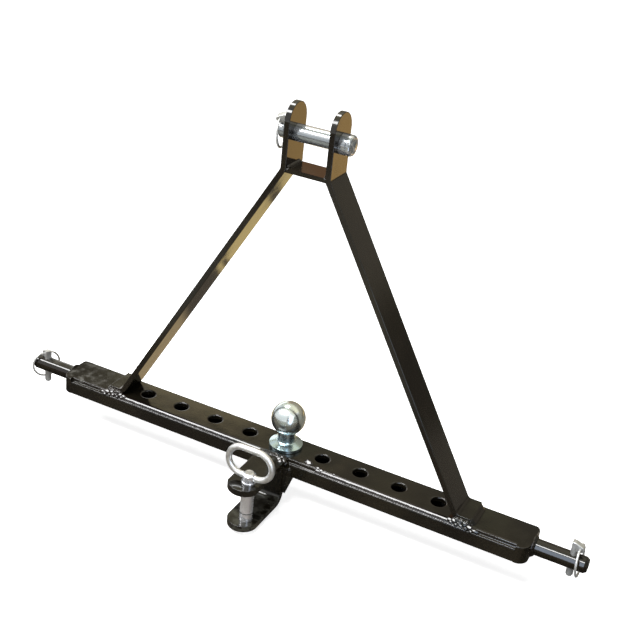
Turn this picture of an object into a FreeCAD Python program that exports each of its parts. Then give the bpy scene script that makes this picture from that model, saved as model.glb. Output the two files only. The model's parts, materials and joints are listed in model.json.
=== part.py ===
import FreeCAD, Part
import math
import os
from FreeCAD import Vector

# Three-point drawbar with an A-frame mast, a tow ball and a pin clevis.
# Millimetres, +Z up. The origin is the middle of the lower hitch axis, the line
# through both lower pins. +X runs to the right-hand pin and -Y towards the clevis.

# Cross-bar: a shallow folded channel closed by a flat top plate.
bar_length = 722.0
bar_depth = 62.0
bar_height = 25.0
top_plate_depth = 50.0
top_plate_thickness = 7.0
plate_edge_round = 0.8
channel_wall = 7.0
channel_floor = 6.0
channel_bend_radius = 1.0
end_cap_thickness = 16.0
front_corner_radius = 14.0
rear_corner_radius = 5.0

# Row of holes along the bar. The middle one takes the ball.
hole_pitch = 57.15
holes_each_side = 4
bar_hole_radius = 10.0

# Lower hitch pins, category 1.
lower_pin_radius = 11.0
lower_pin_reach = 71.5
lower_pin_chamfer_length = 4.0
lower_pin_chamfer_depth = 2.5
lower_spigot_radius = 8.0
lower_cross_hole_from_shoulder = 51.0

# Mast: two legs bent from flat bar, each one an ear, a leg and a foot.
mast_height = 457.2
ear_gap = 53.6
ear_above_pin = 38.6
leg_width = 45.5
leg_thickness = 7.5
leg_edge_round = 0.8
leg_bend_radius = 6.0
ear_bend_below_pin = 43.0
foot_spread = 519.5
foot_tab_length = 20.5
cross_plate_thickness = 6.0
cross_plate_below_pin = 40.6
cross_plate_front = 20.5
cross_plate_rear = 16.0

# Top link pin, turned so far that its lynch pin leans forward.
top_pin_radius = 11.0
top_pin_hole_clearance = 0.15
top_pin_tail = 14.3
top_pin_roll = 18.0
top_pin_end_chamfer = 1.5
top_head_radius = 13.2
top_head_collar_length = 8.6
top_head_groove_width = 1.4
top_head_groove_depth = 1.2
top_head_land = 2.0
top_head_corner = 3.5
top_head_crown = 2.5
top_head_play = 0.3
top_cross_hole_from_ear = 6.7

# Lynch pins, three alike: a shaft, a flat lug beside it and a ring of spring wire
# through the lug. Heights are taken from the axis of the pin that is held.
lynch_radius = 4.75
lynch_hole_clearance = 0.4
lynch_below_eye = 44.5
lynch_tip_chamfer = 1.0
lug_half_thickness = 4.5
lug_below_eye = 5.0
lug_above_eye = 7.5
lug_end_radius = 5.0
lug_edge_round = 1.2
ring_wire_radius = 1.5
ring_radius = 20.5
ring_eye_half_width = 9.0
ring_eye_clearance = 0.3
ring_shaft_gap = 0.55
right_eye_height = 22.0
left_eye_height = 16.3
top_eye_height = 16.4
right_ring_tilt = -6.0
left_ring_tilt = 0.0
top_ring_tilt = 0.0
right_heading = 0.0
left_heading = 150.0
top_heading = 192.0

# Tow ball, 1 7/8 in, on a 3/4 in shank.
ball_radius = 47.625 / 2
ball_centre_height = 44.5
ball_neck_radius = 12.0
ball_neck_fillet = 3.0
ball_flange_radius = 23.2
ball_flange_rim = 5.0
ball_flange_rise = 3.5
ball_shank_radius = 9.525
ball_shank_past_nut = 5.0
shank_chamfer = 1.5
washer_radius = 15.5
washer_thickness = 4.5
washer_split = 2.5
nut_across_flats = 28.6
nut_height = 16.3
nut_bevel = 1.6

# Clevis: a flat upper arm and a bent lower strap, with a gusset at each side.
clevis_width = 42.5
clevis_offset = -3.8
hitch_pin_x = 1.0
hitch_pin_y = -104.0
arm_thickness = 9.5
arm_edge_round = 0.8
upper_corner_before_pin = 9.9
upper_nose_before_pin = 24.2
lower_corner_before_pin = 1.1
lower_nose_before_pin = 20.0
lower_arm_drop = 60.0
strap_bend_radius = 8.0
gusset_thickness = 6.0
gusset_reach = 35.0
gusset_toe_forward = 7.0
gusset_toe_drop = 24.0
clevis_hole_clearance = 0.6

# Hitch pin with a turned groove, a rubber ring and a wire loop handle.
hitch_pin_radius = 8.9
hitch_pin_past_arm = 6.5
hitch_pin_chamfer = 2.0
hitch_groove_above_arm = 13.0
hitch_groove_depth = 1.2
rubber_ring_wire = 0.8
collar_radius = 10.0
collar_height = 2.0
hitch_head_height = 15.0
hitch_head_dome = 3.0
handle_wire_radius = 4.3
handle_length = 73.0
handle_height = 50.0
handle_above_arm = 8.5

# Weld beads.
seam_weld_drop = 0.6
pin_weld_leg = 4.0
foot_weld_radius = 5.0
cross_weld_radius = 3.2
clevis_weld_radius = 4.0
cap_edge_round = 1.0

seam_angle = 37.0

X_AXIS = Vector(1, 0, 0)
Y_AXIS = Vector(0, 1, 0)
Z_AXIS = Vector(0, 0, 1)
ORIGIN = Vector(0, 0, 0)

bar_top = bar_height / 2
bar_bottom = -bar_height / 2
bar_front = -bar_depth / 2
half_bar = bar_length / 2
half_body = half_bar - end_cap_thickness
plate_front = -top_plate_depth / 2
channel_top = bar_top - top_plate_thickness
ear_inner = ear_gap / 2
ear_outer = ear_inner + leg_thickness
clevis_half = clevis_width / 2
upper_arm_bottom = bar_top - arm_thickness
lower_arm_top = bar_top - lower_arm_drop
lower_arm_bottom = lower_arm_top - arm_thickness
lynch_eye_reach = lynch_radius + ring_shaft_gap + ring_wire_radius


def box(low, high):
    """A box between two opposite corners."""
    return Part.makeBox(high[0] - low[0], high[1] - low[1], high[2] - low[2], Vector(*low))


def rod(radius, start, direction, length):
    """A round bar from a start point along a direction."""
    return Part.makeCylinder(radius, length, start, direction)


def mirrored(shape):
    """The same piece on the other side of the middle plane."""
    return shape.mirror(ORIGIN, X_AXIS)


def face_of(points, plane_point):
    """A flat face through points given as pairs, placed by plane_point(a, b)."""
    corners = [plane_point(a, b) for a, b in points]
    return Part.Face(Part.makePolygon(corners + corners[:1]))


def turned(profile, base, direction):
    """A turned piece. The profile lists (radius, height) pairs, or a pair of pairs:
    a point to pass and the end of an arc. It is closed along the axis, and its seam
    is turned away from the planes that cross holes are drilled in."""
    def at(pair):
        return Vector(pair[0], 0, pair[1])
    edges = []
    last = profile[0]
    for step in profile[1:]:
        if isinstance(step[0], tuple):
            edges.append(Part.Arc(at(last), at(step[0]), at(step[1])).toShape())
            last = step[1]
        else:
            edges.append(Part.LineSegment(at(last), at(step)).toShape())
            last = step
    edges.append(Part.LineSegment(at(last), at(profile[0])).toShape())
    solid = Part.Face(Part.Wire(edges)).revolve(ORIGIN, Z_AXIS, 360)
    turn = FreeCAD.Rotation(Z_AXIS, direction) * FreeCAD.Rotation(Z_AXIS, seam_angle)
    solid.Placement = FreeCAD.Placement(base, turn)
    return solid


def rounded_corner(radius, height, size):
    """A quarter-round from a turned piece's side up on to its end, for turned()."""
    turn = size * (1 - math.sqrt(0.5))
    return (radius - turn, height + size - turn), (radius - size, height + size)


def crown(radius, height, rise):
    """A shallow spherical cap from a circle up to the axis, for turned()."""
    sphere = (radius ** 2 + rise ** 2) / (2 * rise)
    half_angle = math.asin(radius / sphere) / 2
    middle = (sphere * math.sin(half_angle), height + rise - sphere * (1 - math.cos(half_angle)))
    return middle, (0, height + rise)


def bent_strip(path, thickness, inner_radius, plane_point):
    """The edge outline of flat bar bent along a path of pairs, as a face."""
    def unit(p, q):
        size = math.hypot(q[0] - p[0], q[1] - p[1])
        return (q[0] - p[0]) / size, (q[1] - p[1]) / size

    def shifted(p, d, along, aside):
        return p[0] + d[0] * along - d[1] * aside, p[1] + d[1] * along + d[0] * aside

    half = thickness / 2
    sides = {1: [], -1: []}
    first = unit(path[0], path[1])
    ends = {side: shifted(path[0], first, 0, side * half) for side in sides}
    starts = dict(ends)
    for before, corner, after in zip(path, path[1:], path[2:]):
        d_in = unit(before, corner)
        d_out = unit(corner, after)
        turn = math.atan2(d_in[0] * d_out[1] - d_in[1] * d_out[0],
                          d_in[0] * d_out[0] + d_in[1] * d_out[1])
        hand = math.copysign(1, turn)
        mid_radius = inner_radius + half
        tangent = mid_radius * math.tan(abs(turn) / 2)
        centre = shifted(corner, d_in, -tangent, hand * mid_radius)
        to_corner = unit(centre, corner)
        for side in sides:
            radius = mid_radius - hand * side * half
            begin = shifted(corner, d_in, -tangent, side * half)
            finish = shifted(corner, d_out, tangent, side * half)
            middle = (centre[0] + to_corner[0] * radius, centre[1] + to_corner[1] * radius)
            sides[side].append(Part.LineSegment(plane_point(*ends[side]), plane_point(*begin)))
            sides[side].append(Part.Arc(plane_point(*begin), plane_point(*middle), plane_point(*finish)))
            ends[side] = finish
    last = unit(path[-2], path[-1])
    for side in sides:
        stop = shifted(path[-1], last, 0, side * half)
        sides[side].append(Part.LineSegment(plane_point(*ends[side]), plane_point(*stop)))
        ends[side] = stop
    caps = [Part.LineSegment(plane_point(*pair[1]), plane_point(*pair[-1])) for pair in (starts, ends)]
    edges = [curve.toShape() for curve in sides[1] + sides[-1] + caps]
    return Part.Face(Part.Wire(Part.__sortEdges__(edges)))


def nosed(half_width, corner, nose, tail, plane_point, push):
    """A prism with straight sides from its tail to two corners and an arc between them."""
    arc = Part.Arc(plane_point(-half_width, corner), plane_point(0, nose),
                   plane_point(half_width, corner))
    lines = [Part.LineSegment(plane_point(half_width, corner), plane_point(half_width, tail)),
             Part.LineSegment(plane_point(half_width, tail), plane_point(-half_width, tail)),
             Part.LineSegment(plane_point(-half_width, tail), plane_point(-half_width, corner))]
    wire = Part.Wire([curve.toShape() for curve in [arc] + lines])
    return Part.Face(wire).extrude(push)


def eased(solid, radius, chosen):
    """A solid with the edges that chosen(edge) picks rounded off."""
    return solid.makeFillet(radius, [edge for edge in solid.Edges if chosen(edge)])


def weld_bead(start, end, radius, *parents):
    """A convex bead along a corner: a round-ended rod less the pieces that it joins."""
    run = end - start
    bead = rod(radius, start, run, run.Length)
    for centre in (start, end):
        bead = bead.fuse(Part.makeSphere(radius, centre))
    return bead.cut(Part.makeCompound(list(parents))) if parents else bead


def hole_positions():
    """The X of each hole in the bar, the ball's hole in the middle."""
    return [step * hole_pitch for step in range(-holes_each_side, holes_each_side + 1)]


def drilled(shape):
    """The bar's row of holes cut through a piece."""
    drills = [rod(bar_hole_radius, Vector(x, 0, bar_bottom), Z_AXIS, bar_height)
              for x in hole_positions()]
    return shape.cut(Part.makeCompound(drills))


def make_top_plate():
    half_depth = top_plate_depth / 2
    plate = box((-half_body, -half_depth, channel_top), (half_body, half_depth, bar_top))
    return drilled(eased(plate, plate_edge_round, lambda edge:
                         edge.BoundBox.ZMin > bar_top - 0.1 and edge.BoundBox.XLength > half_body))


def make_channel():
    half_depth = bar_depth / 2
    outer = box((-half_body, -half_depth, bar_bottom), (half_body, half_depth, channel_top))
    outer = eased(outer, channel_bend_radius, lambda edge:
                  edge.BoundBox.ZMax < bar_bottom + 0.1 and edge.BoundBox.XLength > half_body)
    inner = half_depth - channel_wall
    trough = box((-half_body, -inner, bar_bottom + channel_floor), (half_body, inner, channel_top))
    return drilled(outer.cut(trough))


def make_seam_welds(clevis_arm):
    """The long fillets in the step between top plate and channel. The rear one runs on
    along the end caps."""
    def along_bar(y, z):
        return Vector(0, y, z)
    low = channel_top
    high = bar_top - seam_weld_drop
    bulge = ((bar_front + plate_front) / 2 - seam_weld_drop, (low + high) / 2 + seam_weld_drop)
    edges = [Part.LineSegment(along_bar(bar_front, low), along_bar(plate_front, low)).toShape(),
             Part.LineSegment(along_bar(plate_front, low), along_bar(plate_front, high)).toShape(),
             Part.Arc(along_bar(plate_front, high), along_bar(*bulge),
                      along_bar(bar_front, low)).toShape()]
    section = Part.Face(Part.Wire(edges))

    def bead(half_length):
        solid = section.extrude(X_AXIS * 2 * half_length)
        solid.translate(X_AXIS * -half_length)
        return solid
    rear = bead(half_bar - rear_corner_radius).mirror(ORIGIN, Y_AXIS)
    return Part.makeCompound(bead(half_body).cut(clevis_arm).Solids + [rear])


def make_end_cap():
    """The right-hand cap, stepped at the rear as the bar is, its outer corners rounded in
    plan and its top edges eased."""
    half_depth = bar_depth / 2
    plate_rear = top_plate_depth / 2
    cap = box((half_body, -half_depth, bar_bottom), (half_bar, half_depth, bar_top))
    cap = cap.cut(box((half_body, plate_rear, channel_top), (half_bar, half_depth, bar_top)))

    def outer_upright(edge):
        return edge.BoundBox.XMin > half_bar - 0.1 and edge.BoundBox.YLength < 0.1
    cap = eased(cap, front_corner_radius, lambda edge: outer_upright(edge) and edge.BoundBox.YMax < 0)
    cap = eased(cap, rear_corner_radius, lambda edge: outer_upright(edge) and edge.BoundBox.YMin > 0)
    cap = eased(cap, cap_edge_round, lambda edge:
                edge.BoundBox.ZMin > bar_top - 0.1 and edge.BoundBox.XMax > half_body + 0.1)
    return cap.cut(rod(lower_spigot_radius, Vector(half_body, 0, 0), X_AXIS, end_cap_thickness))


def make_lower_pin():
    """The right-hand pin: a spigot through the cap, a shoulder and a chamfered end."""
    r = lower_pin_radius
    tip = end_cap_thickness + lower_pin_reach
    profile = [(0, 0), (lower_spigot_radius, 0), (lower_spigot_radius, end_cap_thickness),
               (r, end_cap_thickness), (r, tip - lower_pin_chamfer_length),
               (r - lower_pin_chamfer_depth, tip), (0, tip)]
    pin = turned(profile, Vector(half_body, 0, 0), X_AXIS)
    x = half_bar + lower_cross_hole_from_shoulder
    return pin.cut(rod(lynch_radius + lynch_hole_clearance, Vector(x, 0, -r), Z_AXIS, 2 * r))


def make_pin_weld():
    """The fillet round the right-hand pin where it leaves the cap."""
    r = lower_pin_radius
    leg = pin_weld_leg
    profile = [(r, 0), (r + leg, 0), ((r + leg * 0.38, leg * 0.38), (r, leg))]
    return turned(profile, Vector(half_bar, 0, 0), X_AXIS)


def make_mast_leg():
    """The right-hand leg: ear, slope and foot bent from one flat bar."""
    def side_on(x, z):
        return Vector(x, -leg_width / 2, z)

    def end_on(y, z):
        return Vector(0, y, z)
    middle_x = ear_inner + leg_thickness / 2
    foot_z = bar_top + leg_thickness / 2
    path = [(middle_x, mast_height + ear_above_pin),
            (middle_x, mast_height - ear_bend_below_pin),
            (foot_spread / 2, foot_z),
            (foot_spread / 2 + foot_tab_length, foot_z)]
    strip = bent_strip(path, leg_thickness, leg_bend_radius, side_on).extrude(Y_AXIS * leg_width)
    half_width = leg_width / 2
    ear_top = mast_height + ear_above_pin
    outline = nosed(half_width, ear_top - half_width, ear_top, bar_top, end_on, X_AXIS * half_bar)
    leg = eased(strip.common(outline), leg_edge_round, lambda edge:
                edge.BoundBox.YLength < 0.1 and edge.BoundBox.ZMax > bar_top + 0.1)
    bore = rod(top_pin_radius + top_pin_hole_clearance, Vector(0, 0, mast_height), X_AXIS, half_bar)
    return leg.cut(bore)


def make_cross_plate(right_leg, left_leg):
    """The plate between the legs at the bend, its ends cut to the legs."""
    reach = ear_inner + leg_thickness / 2
    top = mast_height - cross_plate_below_pin
    plate = box((-reach, -cross_plate_front, top - cross_plate_thickness),
                (reach, cross_plate_rear, top))
    return plate.cut(Part.makeCompound([right_leg, left_leg]))


def make_cross_plate_welds(plate, right_leg, left_leg):
    """A bead along each end of the cross plate, on its upper side."""
    top = mast_height - cross_plate_below_pin
    beads = []
    for x in (-ear_inner, ear_inner):
        start = Vector(x, -cross_plate_front + cross_weld_radius, top)
        end = Vector(x, cross_plate_rear - cross_weld_radius, top)
        beads += weld_bead(start, end, cross_weld_radius, plate, right_leg, left_leg).Solids
    return Part.makeCompound(beads)


def make_foot_weld(leg, *bar_pieces):
    """Beads along the front, the end and the rear of the right-hand foot."""
    half_width = leg_width / 2
    near = foot_spread / 2 + leg_bend_radius
    far = foot_spread / 2 + foot_tab_length
    corners = [Vector(near, -half_width, bar_top), Vector(far, -half_width, bar_top),
               Vector(far, half_width, bar_top), Vector(near, half_width, bar_top)]
    bead = weld_bead(corners[0], corners[1], foot_weld_radius)
    for start, end in zip(corners[1:], corners[2:]):
        bead = bead.fuse(weld_bead(start, end, foot_weld_radius))
    return bead.cut(Part.makeCompound([leg] + list(bar_pieces)))


def in_plan(x, y):
    """A point of the clevis outline, given from its own middle line."""
    return Vector(clevis_offset + x, y, 0)


def hitch_pin_bore():
    """The bore for the hitch pin through both arms of the clevis."""
    start = Vector(hitch_pin_x, hitch_pin_y, lower_arm_bottom)
    return rod(hitch_pin_radius + clevis_hole_clearance, start, Z_AXIS, bar_top - lower_arm_bottom)


def make_upper_arm(channel):
    """The flat arm, flush with the bar's top, from the top plate to its nose."""
    arm = nosed(clevis_half, hitch_pin_y - upper_corner_before_pin,
                hitch_pin_y - upper_nose_before_pin, plate_front, in_plan, Z_AXIS * arm_thickness)
    arm = eased(arm, arm_edge_round, lambda edge:
                edge.BoundBox.ZLength < 0.1 and edge.BoundBox.YMin < plate_front - 1)
    arm.translate(Z_AXIS * upper_arm_bottom)
    return arm.cut(channel).cut(hitch_pin_bore())


def make_lower_strap():
    """The lower arm and the upright against the bar, bent from one flat bar."""
    def side_on(y, z):
        return Vector(clevis_offset - clevis_half, y, z)
    nose = hitch_pin_y - lower_nose_before_pin
    upright = bar_front - arm_thickness / 2
    level = lower_arm_top - arm_thickness / 2
    path = [(nose, level), (upright, level), (upright, upper_arm_bottom)]
    strap = bent_strip(path, arm_thickness, strap_bend_radius, side_on)
    outline = nosed(clevis_half, hitch_pin_y - lower_corner_before_pin, nose, 0, in_plan,
                    Z_AXIS * 2 * lower_arm_drop)
    outline.translate(Z_AXIS * lower_arm_bottom)
    strap = eased(strap.extrude(X_AXIS * clevis_width).common(outline), arm_edge_round, lambda edge:
                  edge.BoundBox.XLength < 0.1 or edge.BoundBox.YMax < hitch_pin_y)
    return strap.cut(hitch_pin_bore())


def make_gusset(side):
    """A gusset from the strap back under the bar, at the strap's left (-1) or right (1)."""
    inner = clevis_offset + side * clevis_half
    outer = inner + side * gusset_thickness

    def side_on(y, z):
        return Vector(min(inner, outer), y, z)
    toe_y = bar_front - gusset_toe_forward
    points = [(toe_y, upper_arm_bottom), (bar_front, upper_arm_bottom), (bar_front, bar_bottom),
              (bar_front + gusset_reach, bar_bottom), (toe_y, bar_bottom - gusset_toe_drop)]
    return face_of(points, side_on).extrude(X_AXIS * gusset_thickness)


def make_clevis_welds(*pieces):
    """Upright beads where the clevis meets the bar's front face."""
    beads = []
    reach = clevis_half + gusset_thickness
    for x in (clevis_offset - reach, clevis_offset + reach):
        start = Vector(x, bar_front, bar_bottom + channel_bend_radius)
        end = Vector(x, bar_front, channel_top - clevis_weld_radius)
        beads += weld_bead(start, end, clevis_weld_radius, *pieces).Solids
    return Part.makeCompound(beads)


def make_tow_ball():
    """Ball, neck, flange and shank turned in one piece."""
    r = ball_radius
    neck = ball_neck_radius
    fillet = ball_neck_fillet
    shoulder = ball_flange_rim + ball_flange_rise
    bottom = -(bar_height + washer_thickness + nut_height + ball_shank_past_nut)
    meets_neck = ball_centre_height - math.sqrt(r ** 2 - neck ** 2)
    profile = [(0, bottom), (ball_shank_radius - shank_chamfer, bottom),
               (ball_shank_radius, bottom + shank_chamfer), (ball_shank_radius, 0),
               (ball_flange_radius - 0.8, 0), (ball_flange_radius, 0.8),
               (ball_flange_radius, ball_flange_rim), (neck + fillet, shoulder),
               ((neck + fillet * 0.3, shoulder + fillet * 0.3), (neck, shoulder + fillet)),
               (neck, meets_neck),
               ((r, ball_centre_height), (0, ball_centre_height + r))]
    return turned(profile, Vector(0, 0, bar_top), Z_AXIS)


def make_lock_washer():
    """A split spring washer under the bar."""
    bottom = bar_bottom - washer_thickness
    ring = rod(washer_radius, Vector(0, 0, bottom), Z_AXIS, washer_thickness)
    ring = ring.cut(rod(ball_shank_radius, Vector(0, 0, bottom), Z_AXIS, washer_thickness))
    split = box((0, -washer_split / 2, bottom), (washer_radius, washer_split / 2, bar_bottom))
    return ring.cut(split)


def make_ball_nut():
    """A hexagon nut with bevelled corners."""
    corner = nut_across_flats / 2 / math.cos(math.radians(30))
    top = bar_bottom - washer_thickness
    bottom = top - nut_height
    ring = [Vector(corner * math.cos(math.radians(a)), corner * math.sin(math.radians(a)), bottom)
            for a in range(0, 360, 60)]
    hexagon = Part.Face(Part.makePolygon(ring + ring[:1])).extrude(Z_AXIS * nut_height)
    bevel = [(0, 0), (corner - nut_bevel, 0), (corner, nut_bevel), (corner, nut_height - nut_bevel),
             (corner - nut_bevel, nut_height), (0, nut_height)]
    blank = turned(bevel, Vector(0, 0, bottom), Z_AXIS)
    bore = rod(ball_shank_radius, Vector(0, 0, bottom), Z_AXIS, nut_height)
    return hexagon.common(blank).cut(bore)


def make_handle():
    """A stadium of round wire standing across the hitch pin's head."""
    end_radius = handle_height / 2 - handle_wire_radius
    half_straight = handle_length / 2 - handle_wire_radius - end_radius
    centre = Vector(hitch_pin_x, hitch_pin_y, bar_top + handle_above_arm + end_radius)
    loop = None
    for level in (-end_radius, end_radius):
        start = centre + Vector(-half_straight, 0, level)
        wire = rod(handle_wire_radius, start, X_AXIS, 2 * half_straight)
        loop = wire if loop is None else loop.fuse(wire)
    for side in (-1, 1):
        bend = Part.makeTorus(end_radius, handle_wire_radius, ORIGIN, Y_AXIS, 0, 360, 360)
        bend.translate(centre)
        keep = box((0, -handle_height, -handle_height), (handle_length, handle_height, handle_height))
        keep.translate(centre)
        if side < 0:
            keep = keep.mirror(centre, X_AXIS)
        half = bend.common(keep)
        half.translate(Vector(side * half_straight, 0, 0))
        loop = loop.fuse(half)
    return loop.removeSplitter()


def make_hitch_pin(handle):
    """Shaft, collar and domed head in one piece, grooved for the rubber ring."""
    r = hitch_pin_radius
    tip = -(lower_arm_drop + arm_thickness + hitch_pin_past_arm)
    groove = -lower_arm_drop + hitch_groove_above_arm
    floor = r - hitch_groove_depth
    profile = [(0, tip), (r - hitch_pin_chamfer, tip), (r, tip + hitch_pin_chamfer),
               (r, groove - rubber_ring_wire), (floor, groove - rubber_ring_wire),
               (floor, groove + rubber_ring_wire), (r, groove + rubber_ring_wire), (r, 0),
               (collar_radius, 0), (collar_radius, collar_height), (r, collar_height),
               (r, hitch_head_height - hitch_head_dome), (r - hitch_head_dome, hitch_head_height),
               (0, hitch_head_height)]
    return turned(profile, Vector(hitch_pin_x, hitch_pin_y, bar_top), Z_AXIS).cut(handle)


def make_rubber_ring():
    """The rubber ring in the hitch pin's groove."""
    centre = Vector(hitch_pin_x, hitch_pin_y, lower_arm_top + hitch_groove_above_arm)
    floor = hitch_pin_radius - hitch_groove_depth
    return Part.makeTorus(floor + rubber_ring_wire, rubber_ring_wire, centre, Z_AXIS)


def make_top_link_pin():
    """The pin through both ears: chamfered tail, shaft and grooved, domed head."""
    r = top_pin_radius
    tail = -(ear_outer + top_pin_tail)
    head = ear_outer + top_head_play
    groove = head + top_head_collar_length
    dome = groove + top_head_groove_width
    corner = dome + top_head_land
    brow = top_head_radius - top_head_corner
    floor = top_head_radius - top_head_groove_depth
    profile = [(0, tail), (r - top_pin_end_chamfer, tail), (r, tail + top_pin_end_chamfer), (r, head),
               (top_head_radius, head), (top_head_radius, groove), (floor, groove), (floor, dome),
               (top_head_radius, dome), (top_head_radius, corner),
               rounded_corner(top_head_radius, corner, top_head_corner),
               crown(brow, corner + top_head_corner, top_head_crown)]
    pin = turned(profile, ORIGIN, X_AXIS)
    x = -(ear_outer + top_cross_hole_from_ear)
    pin = pin.cut(rod(lynch_radius + lynch_hole_clearance, Vector(x, 0, -r), Z_AXIS, 2 * r))
    return posed(pin, Vector(0, 0, mast_height), 0, top_pin_roll)


def posed(shape, base, heading, roll):
    """A piece made upright at the origin: turned, rolled about the X direction and placed."""
    shape.rotate(ORIGIN, Z_AXIS, heading)
    shape.rotate(ORIGIN, X_AXIS, roll)
    shape.translate(base)
    return shape


def make_lynch_pin(eye_height):
    """A lynch pin standing in its hole, its lug and the eye towards +X."""
    r = lynch_radius
    tip = eye_height - lynch_below_eye
    profile = [(0, tip), (r - lynch_tip_chamfer, tip), (r, tip + lynch_tip_chamfer * 2),
               (r, eye_height), (0, eye_height)]
    shaft = turned(profile, ORIGIN, Z_AXIS)

    def side_on(x, z):
        return Vector(x, -lug_half_thickness, eye_height + z)
    back = -lug_half_thickness
    end = lug_end_radius
    slant = end * math.sqrt(0.5)
    eye = lynch_eye_reach
    corners = [(back, -lug_below_eye), (eye, -end), (eye + slant, slant), (0, lug_above_eye),
               (back, lug_above_eye)]
    outline = [Part.Arc(side_on(*corners[1]), side_on(eye + end, 0), side_on(*corners[2]))]
    for first, second in ((0, 1), (2, 3), (3, 4), (4, 0)):
        outline.append(Part.LineSegment(side_on(*corners[first]), side_on(*corners[second])))
    wire = Part.Wire(Part.__sortEdges__([curve.toShape() for curve in outline]))
    lug = Part.Face(wire).extrude(Y_AXIS * 2 * lug_half_thickness)
    lug = eased(lug, lug_edge_round, lambda edge: edge.BoundBox.YLength < 0.1)
    hole = rod(ring_wire_radius + ring_eye_clearance, side_on(eye, 0), Y_AXIS, 2 * lug_half_thickness)
    return shaft.fuse(lug).cut(hole)


def make_lynch_ring(eye_height, tilt):
    """A wire loop: a straight through the lug's eye and one large arc below it."""
    half = ring_eye_half_width
    drop = math.sqrt(ring_radius ** 2 - half ** 2)
    centre = Vector(0, 0, -drop)
    ring = Part.makeTorus(ring_radius, ring_wire_radius, centre, X_AXIS)
    above = box((-half, -ring_radius * 2, 0), (half, ring_radius * 2, ring_radius * 2))
    ring = ring.cut(above)
    ring = ring.fuse(rod(ring_wire_radius, Vector(0, -half, 0), Y_AXIS, 2 * half))
    for side in (-half, half):
        ring = ring.fuse(Part.makeSphere(ring_wire_radius, Vector(0, side, 0)))
    ring.rotate(ORIGIN, Y_AXIS, tilt)
    ring.translate(Vector(lynch_eye_reach, 0, eye_height))
    return ring


def lynch_places():
    """Each lynch pin's name, place, heading, roll, eye height and the tilt of its ring."""
    lower_x = half_bar + lower_cross_hole_from_shoulder
    top_x = -(ear_outer + top_cross_hole_from_ear)
    return [("right", Vector(lower_x, 0, 0), right_heading, 0, right_eye_height, right_ring_tilt),
            ("left", Vector(-lower_x, 0, 0), left_heading, 0, left_eye_height, left_ring_tilt),
            ("top", Vector(top_x, 0, mast_height), top_heading, top_pin_roll, top_eye_height,
             top_ring_tilt)]


def build():
    """Every piece of the drawbar, by node name."""
    pieces = {}
    top_plate = make_top_plate()
    channel = make_channel()
    upper_arm = make_upper_arm(channel)
    seam_welds = make_seam_welds(upper_arm)
    cap = make_end_cap()
    leg = make_mast_leg()
    other_leg = mirrored(leg)
    cross_plate = make_cross_plate(leg, other_leg)
    strap = make_lower_strap()
    gussets = {side: make_gusset(side) for side in (-1, 1)}
    handle = make_handle()
    foot_weld = make_foot_weld(leg, top_plate, channel, seam_welds)
    lower_pin = make_lower_pin()
    pin_weld = make_pin_weld()

    pieces["bar_top_plate"] = top_plate
    pieces["bar_channel"] = channel
    pieces["bar_seam_welds"] = seam_welds
    pieces["end_cap_right"] = cap
    pieces["end_cap_left"] = mirrored(cap)
    pieces["lower_pin_right"] = lower_pin
    pieces["lower_pin_left"] = mirrored(lower_pin)
    pieces["lower_pin_welds"] = Part.makeCompound([pin_weld, mirrored(pin_weld)])
    pieces["mast_leg_right"] = leg
    pieces["mast_leg_left"] = other_leg
    pieces["mast_cross_plate"] = cross_plate
    pieces["cross_plate_welds"] = make_cross_plate_welds(cross_plate, leg, other_leg)
    pieces["foot_weld_right"] = foot_weld
    pieces["foot_weld_left"] = mirrored(foot_weld)
    pieces["clevis_upper_arm"] = upper_arm
    pieces["clevis_lower_strap"] = strap
    pieces["clevis_gusset_right"] = gussets[1]
    pieces["clevis_gusset_left"] = gussets[-1]
    pieces["clevis_welds"] = make_clevis_welds(upper_arm, strap, gussets[1], gussets[-1],
                                               channel, seam_welds)
    pieces["tow_ball"] = make_tow_ball()
    pieces["ball_lock_washer"] = make_lock_washer()
    pieces["ball_nut"] = make_ball_nut()
    pieces["hitch_pin"] = make_hitch_pin(handle)
    pieces["hitch_pin_handle"] = handle
    pieces["hitch_pin_rubber_ring"] = make_rubber_ring()
    pieces["top_link_pin"] = make_top_link_pin()
    for place, base, heading, roll, eye_height, tilt in lynch_places():
        pieces["lynch_pin_" + place] = posed(make_lynch_pin(eye_height), base, heading, roll)
        pieces["lynch_ring_" + place] = posed(make_lynch_ring(eye_height, tilt), base, heading, roll)
    return pieces


os.makedirs("parts", exist_ok=True)
for name, shape in build().items():
    shape.exportStep("parts/" + name + ".step")
    box_size = shape.BoundBox
    print(f"{name:24s} solids {len(shape.Solids)} valid {shape.isValid()} "
          f"x {box_size.XMin:.1f}..{box_size.XMax:.1f} y {box_size.YMin:.1f}..{box_size.YMax:.1f} "
          f"z {box_size.ZMin:.1f}..{box_size.ZMax:.1f}")
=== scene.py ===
# %% [markdown]
# # A drawbar for a three-point linkage
# A farm tractor lifts its tools on three arms. This drawbar hangs on them: two pins at
# the ends of the bar, and one pin between the ears at the top of the mast. The bar has
# a ball and a clevis for whatever is towed.
#
# Its measured solids come ready made. This lesson adds what a solid modeller leaves out:
# rippled welds, the rolled edges of a drilled plate, black enamel, zinc plate, light and
# a camera.

# %% Load the solids
import json
import math
import bmesh
import bpy
from mathutils import Euler, Matrix, Vector, noise


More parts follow.
